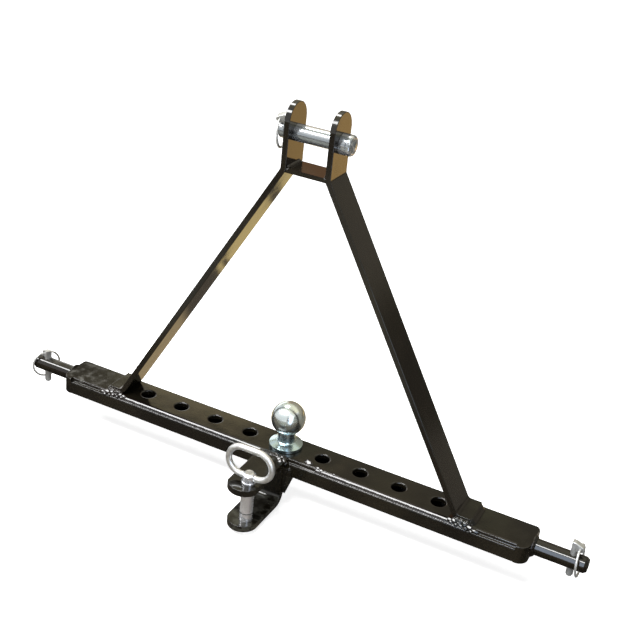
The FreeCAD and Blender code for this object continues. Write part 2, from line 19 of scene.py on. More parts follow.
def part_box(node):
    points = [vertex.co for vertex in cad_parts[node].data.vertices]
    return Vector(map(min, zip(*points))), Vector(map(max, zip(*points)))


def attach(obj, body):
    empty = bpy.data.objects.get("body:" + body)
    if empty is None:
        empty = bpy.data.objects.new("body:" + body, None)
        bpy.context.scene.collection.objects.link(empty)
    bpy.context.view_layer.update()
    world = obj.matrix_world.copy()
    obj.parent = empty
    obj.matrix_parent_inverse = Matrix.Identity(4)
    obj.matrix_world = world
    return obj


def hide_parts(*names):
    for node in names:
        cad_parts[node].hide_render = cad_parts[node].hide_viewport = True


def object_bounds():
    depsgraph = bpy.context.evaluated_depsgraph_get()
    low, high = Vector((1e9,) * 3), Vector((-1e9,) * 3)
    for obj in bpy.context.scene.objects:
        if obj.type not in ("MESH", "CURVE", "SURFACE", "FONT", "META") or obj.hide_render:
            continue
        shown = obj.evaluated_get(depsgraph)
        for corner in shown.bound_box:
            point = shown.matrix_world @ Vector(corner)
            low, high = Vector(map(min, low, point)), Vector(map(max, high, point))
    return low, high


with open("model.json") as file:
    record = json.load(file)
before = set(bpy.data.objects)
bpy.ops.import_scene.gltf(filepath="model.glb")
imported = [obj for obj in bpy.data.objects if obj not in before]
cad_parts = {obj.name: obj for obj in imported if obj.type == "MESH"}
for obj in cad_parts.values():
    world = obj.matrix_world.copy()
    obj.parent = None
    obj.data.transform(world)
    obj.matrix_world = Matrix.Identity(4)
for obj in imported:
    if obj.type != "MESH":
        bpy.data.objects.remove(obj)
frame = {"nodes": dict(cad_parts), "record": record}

solids_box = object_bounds()
nodes = frame["nodes"]
SIDES = ((1, "right"), (-1, "left"))

# %% [markdown]
# ## Looking at it from the right place
# The camera stands where the photographer stood. Its place, tilt and lens came from
# matching forty points of the bar, mast and pins, so it is typed in and never tuned by
# eye. The picture is square, and the small roll is the photographer's own.

# %% The camera
LENS = 62.803
SENSOR = 36.0
CAMERA_PLACE = (0.55284, -1.17235, 0.87479)
CAMERA_TURN = (62.7613, -5.6357, 26.9036)


def put_in_scene(name, data):
    """A new object that holds some data, linked into the scene."""
    made = bpy.data.objects.new(name, data)
    bpy.context.scene.collection.objects.link(made)
    return made


camera_data = bpy.data.cameras.new("camera")
camera_data.lens = LENS
camera_data.sensor_width = SENSOR
camera = put_in_scene("camera", camera_data)
camera.location = CAMERA_PLACE
camera.rotation_euler = Euler([math.radians(a) for a in CAMERA_TURN])
bpy.context.scene.camera = camera
print("camera", round(Vector(CAMERA_PLACE).length, 3), "m from the hitch axis")

# %% [markdown]
# ## A small language for finishes
# A finish is a graph of nodes. Graphs are hard to read as code, so a socket is wrapped
# in a class that does arithmetic: `1 - clean * 0.5` adds its Math nodes itself. The
# reflected forms, such as `__rsub__`, are what lets the number come first. Most masks
# here fade from one place to another, so that fade has a word of its own, `between`.

# %% The Field class
class Field:
    """A value that changes over a surface. It adds and multiplies like a number."""

    def __init__(self, graph, socket):
        self.graph = graph
        self.socket = socket

    def __add__(self, other):
        return self.graph.math("ADD", self, other)

    def __radd__(self, other):
        return self.graph.math("ADD", other, self)

    def __sub__(self, other):
        return self.graph.math("SUBTRACT", self, other)

    def __rsub__(self, other):
        return self.graph.math("SUBTRACT", other, self)

    def __mul__(self, other):
        return self.graph.math("MULTIPLY", self, other)

    def __rmul__(self, other):
        return self.graph.math("MULTIPLY", other, self)

    def between(self, low, high):
        """0 at low and 1 at high, with a soft start and end."""
        return self.graph.node("MapRange", {"interpolation_type": "SMOOTHSTEP"},
                               {"Value": self, "From Min": low, "From Max": high})


# %% [markdown]
# Everything else comes from one method, `node`, which takes the type of a node, its
# settings, and then what goes into its sockets. The other methods only give its most
# common uses a name. Colours go through a Mix node, because a Math node turns them grey.

# %% The Graph class
MIX_FACTOR, MIX_FIRST, MIX_SECOND, MIX_COLOUR = 0, 6, 7, 2


class Graph:
    """A tree of nodes, written as expressions."""

    def __init__(self, tree):
        self.tree = tree

    def feed(self, socket, value):
        """Links a Field to a socket, or sets a plain value on it."""
        if isinstance(value, Field):
            self.tree.links.new(value.socket, socket)
        else:
            socket.default_value = value

    def node(self, kind, settings=None, sockets=None, output=0):
        made = self.tree.nodes.new("ShaderNode" + kind)
        for key, value in (settings or {}).items():
            setattr(made, key, value)
        for key, value in (sockets or {}).items():
            self.feed(made.inputs[key], value)
        return Field(self, made.outputs[output])

    def math(self, operation, *values):
        return self.node("Math", {"operation": operation}, dict(enumerate(values)))

    def colour(self, factor, first, second):
        """One colour fading into another."""
        return self.node("Mix", {"data_type": "RGBA"},
                         {MIX_FACTOR: factor, MIX_FIRST: first, MIX_SECOND: second}, MIX_COLOUR)

    def place(self):
        """Where a point is on the object, in metres."""
        return self.node("TexCoord", output="Object")

    def axis(self, letter):
        """How far a point is along X, Y or Z, in metres."""
        return self.node("SeparateXYZ", None, {"Vector": self.place()}, letter)

    def grain(self, scale, detail=2.0, stretch=(1, 1, 1)):
        """Smooth random variation, with so many ups and downs to the metre."""
        where = self.node("VectorMath", {"operation": "MULTIPLY"}, {0: self.place(), 1: stretch})
        return self.node("TexNoise", {"noise_dimensions": "3D"},
                         {"Vector": where, "Scale": scale, "Detail": detail})

    def bump(self, height, distance, strength):
        return self.node("Bump", None,
                         {"Height": height, "Distance": distance, "Strength": strength})

    def glow(self, colour, strength=1.0):
        return self.node("Emission", None, {"Color": colour, "Strength": strength})

    def seen(self):
        """1 for a ray from the camera or from gloss or glass, and 0 for light that falls."""
        camera_ray = self.node("LightPath", output="Is Camera Ray")
        glossy_ray = self.node("LightPath", output="Is Glossy Ray")
        glass_ray = self.node("LightPath", output="Is Transmission Ray")
        return self.math("MAXIMUM", self.math("MAXIMUM", camera_ray, glossy_ray), glass_ray)


# %% [markdown]
# A finish is such a graph with a name and a shader. Values that are the same all over
# are set on the shader itself, and only what changes over the surface is linked to it,
# so that the finish can be baked and taken to another program.

# %% The Finish class
class Finish(Graph):
    """One material."""

    def __init__(self, name):
        self.material = bpy.data.materials.new(name)
        self.material.use_nodes = True
        super().__init__(self.material.node_tree)
        self.shader = self.tree.nodes["Principled BSDF"]

    def socket(self, key):
        """specular_ior_level is the shader's Specular IOR Level."""
        return self.shader.inputs[key.replace("_", " ").title().replace("Ior", "IOR")]

    def set(self, **constants):
        for key, value in constants.items():
            self.socket(key).default_value = value

    def vary(self, **fields):
        for key, value in fields.items():
            self.feed(self.socket(key), value)

    def show(self, shader):
        """Sends a shader to the material's output, in the place of its own."""
        self.feed(self.tree.nodes["Material Output"].inputs["Surface"], shader)


def dress(finish, *names):
    """Give solids a finish."""
    for name in names:
        nodes[name].data.materials.clear()
        nodes[name].data.materials.append(finish.material)
    print(finish.material.name, "on", ", ".join(names))


# %% [markdown]
# ## Black enamel over steel
# The bar, mast and clevis are sprayed in thick gloss black. It isn't a pure black: it has
# a warm, slightly olive cast. The film follows the rolled steel under it, so a mirror
# image in it wavers, and it has a fine orange peel of its own. Both could be modelled,
# but they are far too shallow to change the outline, which is what a bump is for.

# %% The clean film
INK = (0.0032, 0.0027, 0.0020, 1)
OLIVE = (0.0095, 0.0078, 0.0045, 1)

enamel = Finish("black_enamel")
cloud = enamel.grain(9, 4).between(0.35, 0.7)
smudge = enamel.grain(38, 5).between(0.45, 0.75)
peel = enamel.grain(420, 1.5)
rolled = enamel.grain(26, 1.0)
clean_film = enamel.colour(cloud, INK, OLIVE)
waves = enamel.bump(rolled * 0.7 + peel * 0.10, 0.0012, 0.28)
print("clean film from", INK[:3], "to", OLIVE[:3])

# %% [markdown]
# One end of the bar was dragged over a workshop floor, and pale scuffs stayed on its top,
# most of them at the front. The lowest arm of the clevis is greyer, in mottled patches.
# Both are masks made of two things: a grain, and the place where it may show.

# %% Scuffs, and a greyer lowest arm
SCUFF_GREY = (0.095, 0.093, 0.084, 1)
LOW_ARM_GREY = (0.055, 0.055, 0.045, 1)
GREY_STARTS, GREY_FULL = -0.040, -0.046
SCUFFS_START, SCUFFS_FULL = -0.255, -0.33
BELOW_TOP, ON_TOP = 0.008, 0.011
REAR_HALF, FRONT_HALF = 0.014, -0.020
REAR_SHARE = 0.35

height = enamel.axis("Z")
# The lowest arm of the clevis is made greyer, in mottled patches.
low_arm_mottle = enamel.grain(90, 6).between(0.35, 0.65) * height.between(GREY_STARTS, GREY_FULL)
dragged_end = enamel.axis("X").between(SCUFFS_START, SCUFFS_FULL)
to_front = enamel.axis("Y").between(REAR_HALF, FRONT_HALF)
scuffed = enamel.grain(80, 9).between(0.46, 0.72) * dragged_end * height.between(BELOW_TOP, ON_TOP)
scuffed = scuffed * (REAR_SHARE + to_front * (1 - REAR_SHARE))

film = enamel.colour(low_arm_mottle * 0.6, clean_film, LOW_ARM_GREY)
enamel.vary(base_color=enamel.colour(scuffed * 0.7, film, SCUFF_GREY),
            roughness=0.07 + cloud * 0.03 + smudge * 0.08 + scuffed * 0.2,
            normal=waves)
dress(enamel, *[s["node"] for s in frame["record"]["subparts"]
                if s["material_slot"] == "black_gloss_paint"])

# %% [markdown]
# ## Zinc plate
# ### The ball
# The ball, its neck and its flange are turned from one bar, with a thin bright plate. The
# tool leaves fine rings round the axis. They could be a wave texture, but real marks are
# uneven, so noise is stretched until it is nearly constant across the work and changes
# quickly along it. Low on the neck the plate mirrors the bar, so a deeper blue is painted
# into its colour there: a painted reflection.

# %% Turned zinc
PALE_TEAL = (0.70, 0.75, 0.74, 1)
TEAL = (0.52, 0.60, 0.61, 1)
MIRRORED_BAR_BLUE = (0.46, 0.58, 0.62, 1)
ROUND_THE_AXIS = (0.02, 0.02, 1)
FLANGE_TOP, NECK = 0.030, 0.040

ball_zinc = Finish("ball_zinc")
marks = ball_zinc.grain(1500, 1.0, ROUND_THE_AXIS)
patch = ball_zinc.grain(60, 3).between(0.35, 0.7)
# Low on the neck the colour turns a deeper blue: a painted reflection of the bar.
above_flange = ball_zinc.axis("Z").between(FLANGE_TOP, NECK)
ball_zinc.vary(base_color=ball_zinc.colour(above_flange, MIRRORED_BAR_BLUE,
                                           ball_zinc.colour(patch, PALE_TEAL, TEAL)),
               roughness=0.15 + marks * 0.10 + patch * 0.05,
               normal=ball_zinc.bump(marks, 0.0002, 0.18))
ball_zinc.set(metallic=1.0)
dress(ball_zinc, "tow_ball")

# %% [markdown]
# ### The pins
# The top link pin and the hitch pin are drawn bar. A die leaves lines and pale streaks
# along it, so here the same noise is stretched the other way, along the pin. The hitch
# pin stands upright and the top one lies level, so each has its own stretch.

# %% Drawn zinc
SILVER = (0.64, 0.65, 0.66, 1)
BLUE_SILVER = (0.30, 0.33, 0.35, 1)
WHITE_SILVER = (0.88, 0.89, 0.92, 1)
GREY_SILVER = (0.56, 0.57, 0.60, 1)
ALONG_X = (0.02, 1, 1)
ALONG_Z = (1, 1, 0.02)


def drawn_zinc(name, stretch, streak_scale, light, dark):
    """Bright plate on a drawn bar: fine lines and pale streaks run along it."""
    zinc = Finish(name)
    lines = zinc.grain(1400, 1.0, stretch)
    streaks = zinc.grain(streak_scale, 1.0, stretch).between(0.38, 0.62)
    zinc.vary(base_color=zinc.colour(streaks, dark, light),
              roughness=0.12 + lines * 0.10,
              normal=zinc.bump(lines, 0.0002, 0.15))
    zinc.set(metallic=0.8)
    return zinc


dress(drawn_zinc("level_pin_zinc", ALONG_X, 160, SILVER, BLUE_SILVER), "top_link_pin")
dress(drawn_zinc("upright_pin_zinc", ALONG_Z, 120, WHITE_SILVER, GREY_SILVER),
      "hitch_pin", "ball_nut", "ball_lock_washer")

# %% [markdown]
# ### The handle
# The handle of the hitch pin is wire, bent after it was drawn. It is handled all day, so
# the plate is a little duller, with blotches. One noise for the lines and one for the
# blotches give both the colour and the bump.

# %% Wire zinc
WIRE_WHITE = (0.80, 0.81, 0.81, 1)
WIRE_GREY = (0.62, 0.63, 0.63, 1)

wire_zinc = Finish("handle_zinc")
drawn = wire_zinc.grain(900, 2.0, (0.1, 1, 1))
blotch = wire_zinc.grain(140, 3).between(0.4, 0.7)
wire_zinc.vary(base_color=wire_zinc.colour(blotch, WIRE_WHITE, WIRE_GREY),
               roughness=0.28 + drawn * 0.14,
               normal=wire_zinc.bump(drawn + blotch, 0.0002, 0.25))
wire_zinc.set(metallic=0.9)
dress(wire_zinc, "hitch_pin_handle")

# %% [markdown]
# ### Lynch pins and rings
# A lynch pin locks each of the other pins, and its spring ring snaps over the end. They
# are plated in a barrel and never polished, so the zinc keeps a matt frost. The rings
# are the paler of the two.

# %% Matt zinc
PIN_DARK, PIN_LIGHT = (0.34, 0.34, 0.33, 1), (0.58, 0.59, 0.58, 1)
RING_DARK, RING_LIGHT = (0.52, 0.52, 0.51, 1), (0.76, 0.77, 0.76, 1)


def matt_zinc(name, dark, light):
    """Dull plate, straight from the bath."""
    zinc = Finish(name)
    frost = zinc.grain(700, 3)
    cloudy = zinc.grain(160, 3).between(0.35, 0.65)
    zinc.vary(base_color=zinc.colour(frost * 0.5 + cloudy * 0.5, dark, light),
              roughness=0.40 + frost * 0.2,
              normal=zinc.bump(frost, 0.0002, 0.3))
    zinc.set(metallic=0.85)
    return zinc


dress(matt_zinc("lynch_pin_zinc", PIN_DARK, PIN_LIGHT),
      "lynch_pin_right", "lynch_pin_left", "lynch_pin_top")
dress(matt_zinc("ring_zinc", RING_DARK, RING_LIGHT),
      "lynch_ring_right", "lynch_ring_left", "lynch_ring_top")

# %% [markdown]
# ## Rubber
# A small rubber ring on the hitch pin stops it from rattling. Old rubber isn't an even
# black: wax comes to its surface in a greyish bloom, which a fine noise gives.

# %% Black rubber
RUBBER_BLACK = (0.012, 0.012, 0.012, 1)
BLOOM_GREY = (0.03, 0.03, 0.03, 1)

rubber = Finish("black_rubber")
bloom = rubber.grain(600, 3)
rubber.vary(base_color=rubber.colour(bloom, RUBBER_BLACK, BLOOM_GREY),
            roughness=0.5 + bloom * 0.2,
            normal=rubber.bump(bloom, 0.0002, 0.3))
dress(rubber, "hitch_pin_rubber_ring")

# %% [markdown]
# ## Welds
# A welder lays metal in small overlapping pools, and each leaves a crescent. So a bead
# isn't a smooth rod: its height rises and falls every few millimetres, the crescents
# bow against the direction of travel, and a hand never keeps one width. Each bead here
# is a section swept along the corner that it fills, with that ripple in the geometry.
#
# The welds are sprayed with the rest, so all of them take the enamel and move with the
# drawbar.

# %% A piece in black enamel
def enamelled(name, mesh):
    """A new piece that moves with the welded drawbar."""
    piece = put_in_scene(name, mesh)
    piece.data.materials.append(enamel.material)
    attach(piece, "drawbar")
    return piece


def weld_metal(name, vertices, faces):
    """A smooth enamelled piece from points and faces, all of them facing outwards."""
    mesh = bpy.data.meshes.new(name)
    mesh.from_pydata(vertices, [], faces)
    mesh.validate()
    shell = bmesh.new()
    shell.from_mesh(mesh)
    bmesh.ops.recalc_face_normals(shell, faces=shell.faces)
    shell.to_mesh(mesh)
    shell.free()
    mesh.shade_smooth()
    return enamelled(name, mesh)


# %% [markdown]
# A section is a list of points. Each says how far out it is from one wall, how far up
# from the other, and how much it ripples. Small beads share one rule: a curve between a
# straight chamfer and a square corner, calm at both edges and restless in the middle.

# %% The section of a small bead
SECTION_STEPS = 14
TOP_ANGLE = 98


def rounded(size, fullness=1.7, unrest=0.2, lowest=-8):
    """A section of a size, from an angle below the first wall to one past the second."""
    section = []
    for step in range(SECTION_STEPS + 1):
        share = step / SECTION_STEPS
        angle = math.radians(lowest + (TOP_ANGLE - lowest) * share)
        reach = abs(math.cos(angle)) ** fullness + abs(math.sin(angle)) ** fullness
        far = size * reach ** (-1 / fullness)
        section.append((far * math.cos(angle), far * math.sin(angle),
                        unrest * math.sin(math.pi * share)))
    return section


# %% [markdown]
# Now the sweep. A curve with a bevel could follow the corner, but its section stays the
# same all along. So the points are placed one by one: the crescents come from a sine of
# the way travelled, and the unsteady hand, the lumps and the grit from noise with a
# fixed seed, which gives the same weld on every run.

# %% Sweep a section along a corner
PITCH = 0.0034                              # from one crescent to the next, in metres
BOW = 0.55                                  # how far a crescent bows, in pitches
MIDDLE_OF_RIPPLE = 0.6
HAND, LUMPY, GRITTY = 110, 190, 420         # ups and downs to the metre
GRIT_ACROSS, GRIT_DEPTH = 3, 0.4
LUMP_LAYER = 5                              # keeps the lumps' noise apart from the hand's
FULL_LUMPS = 8                              # lumps are whole where unrest is over 1/8
BLUNT_END = 0.02
ROOT = 0.25                                 # how deep the bead reaches into the corner


def ring_faces(ring, rows, closed):
    """Faces that join one row of points to the next, and two ends if it isn't closed."""
    faces = []
    for row in range(rows if closed else rows - 1):
        nearer = row * ring
        further = (row + 1) % rows * ring
        for step in range(ring):
            after = (step + 1) % ring
            faces.append((nearer + step, nearer + after, further + after, further + step))
    if not closed:
        faces.append(tuple(reversed(range(ring))))
        faces.append(tuple(range((rows - 1) * ring, rows * ring)))
    return faces


def bead(name, stations, section, seed, taper=True, closed=False, lumps=0.0):
    """A weld bead. Each station is a point of the corner and the directions of the two
    walls that leave it there."""
    size = max(max(out, up) for out, up, unrest in section)
    run = sum((b[0] - a[0]).length for a, b in zip(stations, stations[1:]))
    vertices = []
    travelled = 0.0
    last = stations[0][0]
    for point, wall, other in stations:
        travelled += (point - last).length
        last = point
        to_end = min(travelled, run - travelled)
        fade = 1.0
        if taper and not closed and to_end < size:
            fade = math.sqrt(max(BLUNT_END, 1 - (1 - to_end / size) ** 2))
        wander = noise.noise(Vector((travelled * HAND, seed, 0)))
        lump = lumps * noise.noise(Vector((travelled * LUMPY, seed, LUMP_LAYER)))
        for step, (out, up, unrest) in enumerate(section):
            share = step / (len(section) - 1)
            bow = math.cos(math.pi * (2 * share - 1) / 2) * BOW
            ripple = abs(math.sin(math.pi * (travelled / PITCH + bow))) - MIDDLE_OF_RIPPLE
            where = Vector((travelled * GRITTY, share * GRIT_ACROSS, seed))
            grit = GRIT_DEPTH * noise.noise(where)
            lumpy = lump * min(1, unrest * FULL_LUMPS)
            swell = fade * (1 + unrest * (wander + ripple + grit) + lumpy)
            vertices.append(point + wall * out * swell + other * up * swell)
        vertices.append(point - (wall + other) * size * ROOT)
    faces = ring_faces(len(section) + 1, len(stations), closed)
    print(name, "is", round(run * 1000), "mm of bead in", len(faces), "faces")
    return weld_metal(name, vertices, faces)


# %% [markdown]
# A bead needs to know the corner it runs along. There are two kinds on this bar: a
# straight one, and one that goes round a pin. Stations stand about half a millimetre
# apart, six to a crescent, so that each crescent keeps its shape.

# %% Corners to weld along
STATION_STEP = 0.00055
LEAST_STATIONS = 8


def straight(start, end, wall, other):
    """Stations along a straight corner."""
    start, end = Vector(start), Vector(end)
    count = max(LEAST_STATIONS, round((end - start).length / STATION_STEP))
    return [(start.lerp(end, k / count), Vector(wall), Vector(other)) for k in range(count + 1)]


def around(centre, radius, along):
    """Stations round a pin that stands on a wall, which faces along X."""
    count = round(2 * math.pi * radius / STATION_STEP)
    stations = []
    for k in range(count):
        a = 2 * math.pi * k / count
        out = Vector((0, math.cos(a), math.sin(a)))
        stations.append((Vector(centre) + out * radius, out, Vector((along, 0, 0))))
    return stations


# %% [markdown]
# ### The long seams
# The top plate is narrower than the channel under it, and the step between them is
# filled from end to end. The upper half of this bead ran smooth, so the light draws one
# long white line along it. Its toe on the channel is ragged. Both come from the section,
# which has little unrest in its upper points and more in the lower ones.

# %% Sections of the seams
SEAM_SECTION = [(-0.0004, 0.0063, 0.0), (0.0001, 0.0066, 0.0), (0.0009, 0.00592, 0.006),
                (0.0017, 0.00521, 0.008), (0.0025, 0.00448, 0.010), (0.0029, 0.00398, 0.03),
                (0.0032, 0.0032, 0.05), (0.00345, 0.0025, 0.08), (0.0038, 0.0021, 0.10),
                (0.0043, 0.00185, 0.10), (0.0048, 0.0015, 0.08), (0.0052, 0.0010, 0.06),
                (0.00545, 0.0004, 0.04), (0.0055, -0.0002, 0.03)]
THIN_SECTION = [(-0.0004, 0.0063, 0.0), (0.0004, 0.00635, 0.0), (0.0010, 0.00582, 0.004),
                (0.0012, 0.0050, 0.01), (0.0014, 0.0030, 0.02), (0.0017, 0.0020, 0.02),
                (0.0022, 0.0016, 0.02), (0.0034, 0.0014, 0.015), (0.0046, 0.0013, 0.02),
                (0.0051, 0.0008, 0.04), (0.0053, -0.0002, 0.03)]
print("seam sections of", len(SEAM_SECTION), "and", len(THIN_SECTION), "points")

# %% [markdown]
# Beside the clevis and beyond the feet the welder laid less metal, so the front seam
# changes to the thin section there. It is made in five runs, and the clevis's upper arm
# stands in the gap between two of them. The rear seam is one run.

# %% Seams of the bar
plate_low, plate_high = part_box("bar_top_plate")
channel_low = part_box("bar_channel")[0]
seam_low, seam_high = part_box("bar_seam_welds")
arm_low, arm_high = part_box("clevis_upper_arm")
BEYOND_FOOT = 0.2790
BESIDE_CLEVIS = 0.0605

front_runs = [(plate_low.x, -BEYOND_FOOT, THIN_SECTION), (-BEYOND_FOOT, arm_low.x, SEAM_SECTION),
              (arm_high.x, BESIDE_CLEVIS, THIN_SECTION), (BESIDE_CLEVIS, BEYOND_FOOT, SEAM_SECTION),
              (BEYOND_FOOT, plate_high.x, THIN_SECTION)]


def seam(name, low, high, y, side, section, seed):
    """A seam along one edge of the top plate, between two places on the bar."""
    corner = straight((low, y, plate_low.z), (high, y, plate_low.z), (0, side, 0), (0, 0, 1))
    return bead(name, corner, section, seed=seed, taper=False)


seams = [seam("seam_bead_front_" + str(k), low, high, plate_low.y, -1, section, seed=3.0 + k)
         for k, (low, high, section) in enumerate(front_runs)]
seam("seam_bead_rear", seam_low.x, seam_high.x, plate_high.y, 1, SEAM_SECTION, seed=8.0)
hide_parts("bar_seam_welds")

# %% [markdown]
# ### Feet of the mast
# Each foot lies flat on the bar and is welded along its front, its end and its rear.
# These are the fattest and least tidy beads on the whole bar, so the front one gets the
# most lumps. The end bead was laid in one calm pass: its section is typed in, hollow
# and almost smooth.

# %% Foot beads
FOOT_BEAD = 0.0054
FOOT_WELD_LENGTH = 0.0225
PAST_CORNER = 0.002
PAST_END = 0.001
END_SECTION = [(0.0078, -0.0006, 0.0), (0.0072, 0.0006, 0.02), (0.0058, 0.0017, 0.03),
               (0.0042, 0.0031, 0.03), (0.0028, 0.0046, 0.03), (0.0014, 0.0062, 0.02),
               (0.0004, 0.0071, 0.0), (-0.0006, 0.0074, 0.0)]

foot_low, foot_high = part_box("mast_leg_right")
for side, place in SIDES:
    near, far = side * (foot_high.x - FOOT_WELD_LENGTH), side * foot_high.x
    corner, z = far + side * PAST_CORNER, plate_high.z
    front = bead("foot_bead_front_" + place,
                 straight((near, foot_low.y, z), (corner, foot_low.y, z), (0, -1, 0), (0, 0, 1)),
                 rounded(FOOT_BEAD, 1.8, 0.2, -35), seed=11.0 + side, lumps=0.45)
    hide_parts("foot_weld_" + place)
    bead("foot_bead_end_" + place,
         straight((far, foot_low.y - PAST_END, z), (far, foot_high.y + PAST_END, z),
                  (side, 0, 0), (0, 0, 1)),
         END_SECTION, seed=71.0 + side, lumps=0.1)
    bead("foot_bead_rear_" + place,
         straight((corner, foot_high.y, z), (near, foot_high.y, z), (0, 1, 0), (0, 0, 1)),
         rounded(FOOT_BEAD * 0.9, 1.7, 0.16, -35), seed=81.0 + side, lumps=0.25)

# %% [markdown]
# ### Frozen drops
# At the front of each foot the metal ran over the plate's edge on to the seam and froze
# in lumps. Metaballs would melt into each other, but their size is hard to hold to a
# millimetre. So each drop is a ball made knobbly by noise, squashed and tilted, and given
# one flat facet. The facet faces the long softbox and mirrors it as a small white spot,
# which is what the eye takes for wet, lumpy metal.

# %% Drops of weld metal
DROP_LEAN = 42
DROP_FLATNESS = 0.55
DROP_ROUNDS = 4
KNOBS, KNOB_HEIGHT = 1.6, 0.22
PIMPLES, PIMPLE_HEIGHT = 5, 0.06
FACET_CHANGE = 0.05
NEXT_KNOBS, NEXT_PIMPLES, NEXT_FACET = 3.1, 2.3, 2.4    # steps from one drop to the next


def drops(name, places, seed, facet):
    """Drops in one piece. Each place is a centre and the radii of that drop, and facet
    is how far from its centre a drop is cut flat, in radii."""
    lean = Matrix.Rotation(math.radians(DROP_LEAN), 3, "X")
    vertices = []
    faces = []
    for number, (centre, radii) in enumerate(places):
        ball = bmesh.new()
        bmesh.ops.create_icosphere(ball, subdivisions=DROP_ROUNDS, radius=1.0)
        start = len(vertices)
        cut = facet + FACET_CHANGE * math.sin(NEXT_FACET * number)
        for vertex in ball.verts:
            point = vertex.co.copy()
            big = noise.noise(point * KNOBS + Vector((number * NEXT_KNOBS, seed, 0)))
            small = noise.noise(point * PIMPLES + Vector((seed, number * NEXT_PIMPLES, 1)))
            point *= 1 + KNOB_HEIGHT * big + PIMPLE_HEIGHT * small
            point.z = DROP_FLATNESS * min(point.z, cut)
            point = Vector([p * r for p, r in zip(point, radii)])
            vertices.append(Vector(centre) + lean @ point)
        faces += [tuple(start + v.index for v in face.verts) for face in ball.faces]
        ball.free()
    print(name, "has", len(places), "drops")
    return weld_metal(name, vertices, faces)


# %% [markdown]
# The drops of one foot are typed in and mirrored for the other. The first number of each
# is how far it lies beyond the end of the foot. The seed differs, so the two feet have
# their drops in the same places and no drop has a twin.

# %% Drops at the feet
FOOT_DROPS = [((-0.0235, -0.0280, 0.0105), (0.0026, 0.0022, 0.0024)),
              ((-0.0165, -0.0292, 0.0100), (0.0024, 0.0020, 0.0022)),
              ((-0.0096, -0.0290, 0.0108), (0.0026, 0.0020, 0.0026)),
              ((-0.0030, -0.0292, 0.0092), (0.0028, 0.0020, 0.0024)),
              ((0.0045, -0.0296, 0.0080), (0.0026, 0.0018, 0.0022)),
              ((-0.0165, -0.0240, 0.0150), (0.0026, 0.0022, 0.0022)),
              ((-0.0095, -0.0236, 0.0156), (0.0024, 0.0022, 0.0022)),
              ((-0.0200, -0.0262, 0.0130), (0.0040, 0.0034, 0.0032)),
              ((-0.0130, -0.0272, 0.0122), (0.0044, 0.0032, 0.0034)),
              ((-0.0062, -0.0264, 0.0136), (0.0040, 0.0036, 0.0032)),
              ((0.0012, -0.0274, 0.0116), (0.0054, 0.0032, 0.0040)),
              ((0.0085, -0.0280, 0.0098), (0.0060, 0.0026, 0.0030)),
              ((-0.0260, -0.0258, 0.0120), (0.0040, 0.0026, 0.0024))]

for side, place in SIDES:
    drops("foot_drops_" + place,
          [((side * (foot_high.x + beyond), y, z), radii) for (beyond, y, z), radii in FOOT_DROPS],
          seed=41.0 + side, facet=0.91)

# %% [markdown]
# ### The plate between the ears
# A short plate ties the two legs together under the ears. It is welded to each leg
# across its top, and where the welder stopped at the front, a drop stayed.

# %% Cross plate
FROM_EDGE = 0.001

cross_low, cross_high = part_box("mast_cross_plate")
leg_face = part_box("cross_plate_welds")[1].x
for side, place in SIDES:
    corner = straight((side * leg_face, cross_low.y + FROM_EDGE, cross_high.z),
                      (side * leg_face, cross_high.y - FROM_EDGE, cross_high.z),
                      (-side, 0, 0), (0, 0, 1))
    bead("cross_bead_" + place, corner, rounded(0.0034), seed=17.0 + side)
    stop = (side * (leg_face - 0.0008), cross_low.y + 0.0012, cross_high.z - 0.0010)
    drops("cross_drop_" + place, [(stop, (0.0030, 0.0026, 0.0032))],
          seed=53.0 + side, facet=0.9)
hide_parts("cross_plate_welds")

# %% [markdown]
# ### The lower pins
# Each lower pin is welded all round where it leaves its end cap. The corner goes round
# the pin and meets itself, so the bead is closed and has no ends to taper.

# %% Beads round the lower pins
LOWER_PIN = 0.011

cap_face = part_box("end_cap_right")[1].x
pin_beads = [bead("pin_bead_" + place, around((side * cap_face, 0, 0), LOWER_PIN, side),
                  rounded(0.0039, 1.5, 0.13), seed=23.0 + side, closed=True)
             for side, place in SIDES]
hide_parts("lower_pin_welds")

# %% [markdown]
# ### The clevis
# The gussets of the clevis stand against the channel, each with an upright bead on its
# outer face.

# %% Beads of the gussets
for side, place in SIDES:
    low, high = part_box("clevis_gusset_" + place)
    x = high.x if side > 0 else low.x
    corner = straight((x, channel_low.y, channel_low.z + FROM_EDGE), (x, channel_low.y, high.z),
                      (side, 0, 0), (0, -1, 0))
    bead("clevis_bead_" + place, corner, rounded(0.0038, 1.6, 0.2),
                             seed=29.0 + side, lumps=0.3)

# %% [markdown]
# Metal ran out to the right of the clevis, along the thin stretch of the seam, and more
# of it froze in drops on the right half of the upper arm, as far as the arm's edge. Where
# this arm meets the plate, a wide, low bead lies on top. It ran in lumps, so its section
# has a lot of unrest.

# %% Drops and bead of the upper arm
ARM_SECTION = [(-0.0040, -0.0006, 0.0), (-0.0034, 0.0006, 0.1), (-0.0020, 0.0019, 0.25),
               (-0.0004, 0.0027, 0.35), (0.0016, 0.0028, 0.35), (0.0036, 0.0020, 0.3),
               (0.0052, 0.0008, 0.15), (0.0058, -0.0006, 0.0)]
BEFORE_PLATE = 0.0035
FROM_LEFT, PAST_RIGHT = 0.002, 0.001

